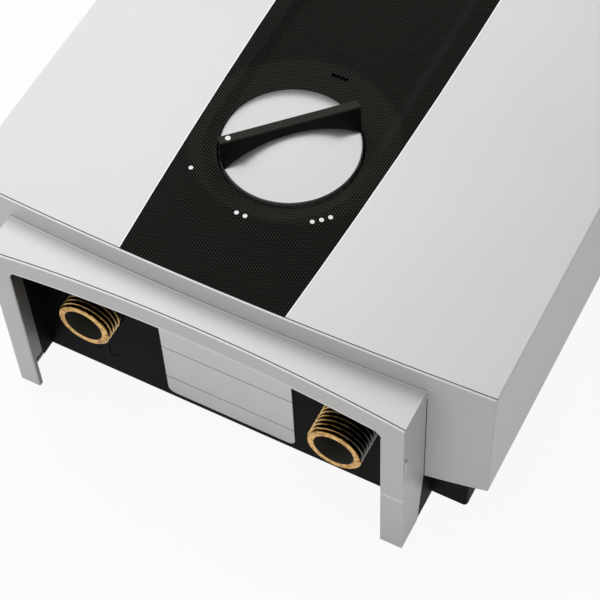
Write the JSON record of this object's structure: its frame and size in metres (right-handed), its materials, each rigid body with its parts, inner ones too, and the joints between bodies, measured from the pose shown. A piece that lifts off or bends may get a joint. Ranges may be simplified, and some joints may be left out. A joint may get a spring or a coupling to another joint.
{
  "type": "tankless electric water heater",
  "caption": "Compact wall-hung electric water heater: silver crowned case, black centre strip with a rotary power knob, and threaded brass pipe connections under a removable shroud.",
  "frame": {"origin": "middle of the bounding box, on the wall plane that the back lies on", "axes": "+Z out of the wall towards the front, +X to the right seen from the front, +Y up the heater, away from the pipe end"},
  "size_m": [0.204, 0.3616, 0.1125],
  "materials": {
    "silver_paint": "satin silver paint over moulded plastic, very fine grain",
    "knob_silver": "smooth satin silver",
    "black_weave": "black plastic moulded with a fine woven grain",
    "black_plastic": "plain black moulded plastic, slightly matt",
    "white_print": "white inlay",
    "label_foil": "plain light grey film",
    "brass": "machined bright brass",
    "copper": "drawn copper, slightly dulled",
    "zinc_steel": "zinc plated steel",
    "rod_steel": "heat-darkened stainless sheath",
    "rubber": "matt black rubber",
    "cream_plastic": "cream moulded plastic",
    "red_plastic": "red moulded plastic",
    "lead_sheath": "smooth flexible sheath"
  },
  "bodies": {
    "case": {"back_plate": "black_plastic", "front_cover": "silver_paint", "centre_strip": "black_weave", "setting_dots": "white_print", "pipe_shroud": "silver_paint", "selector_switch": "black_plastic", "switch_tabs": "brass", "switch_bracket": "zinc_steel", "bracket_screws": "zinc_steel", "label_plate": "label_foil", "cold_nipple": "brass", "hot_nipple": "brass", "nipple_screws": "zinc_steel", "inlet_filter": "zinc_steel", "inlet_ring": "rubber", "flow_body": "brass", "flow_diaphragm": "rubber", "flow_cap": "cream_plastic", "micro_switch": "black_plastic", "cold_pipe": "copper", "hot_pipe": "copper", "vessel": "copper", "vessel_flange": "brass", "flange_bolts": "zinc_steel", "heating_rods": "rod_steel", "vessel_straps": "zinc_steel", "thermal_cutout": "black_plastic", "terminal_block": "cream_plastic", "terminal_screws": "zinc_steel", "cable_grommet": "rubber", "supply_lead": "lead_sheath", "switch_lead": "lead_sheath", "element_leads": "lead_sheath", "cover_screws": "zinc_steel"},
    "knob": {"knob_disc": "knob_silver", "knob_bar": "black_plastic", "knob_dot": "white_print", "selector_spindle": "zinc_steel"},
    "plunger": {"flow_plunger": "cream_plastic"},
    "switch_button": {"micro_button": "red_plastic"},
    "cutout_button": {"reset_button": "red_plastic"}
  },
  "joints": [
    {"name": "knob_turn", "type": "hinge", "parent": "case", "child": "knob", "pos_m": [0, -0.10565, 0.1], "axis": [0, 0, 1], "range_deg": [-135, 90]},
    {"name": "plunger_lift", "type": "slide", "parent": "case", "child": "plunger", "axis": [0, 0, 1], "range_m": [0, 0.0012], "stiffness_N_per_m": 200},
    {"name": "button_press", "type": "slide", "parent": "case", "child": "switch_button", "axis": [0, 0, 1], "range_m": [0, 0.0012], "stiffness_N_per_m": 100},
    {"name": "reset_press", "type": "slide", "parent": "case", "child": "cutout_button", "axis": [0, 0, -1], "range_m": [0, 0.0015], "stiffness_N_per_m": 300}
  ],
  "couplings": [
    {"joint": "button_press", "follows": "plunger_lift", "ratio": 1}
  ]
}
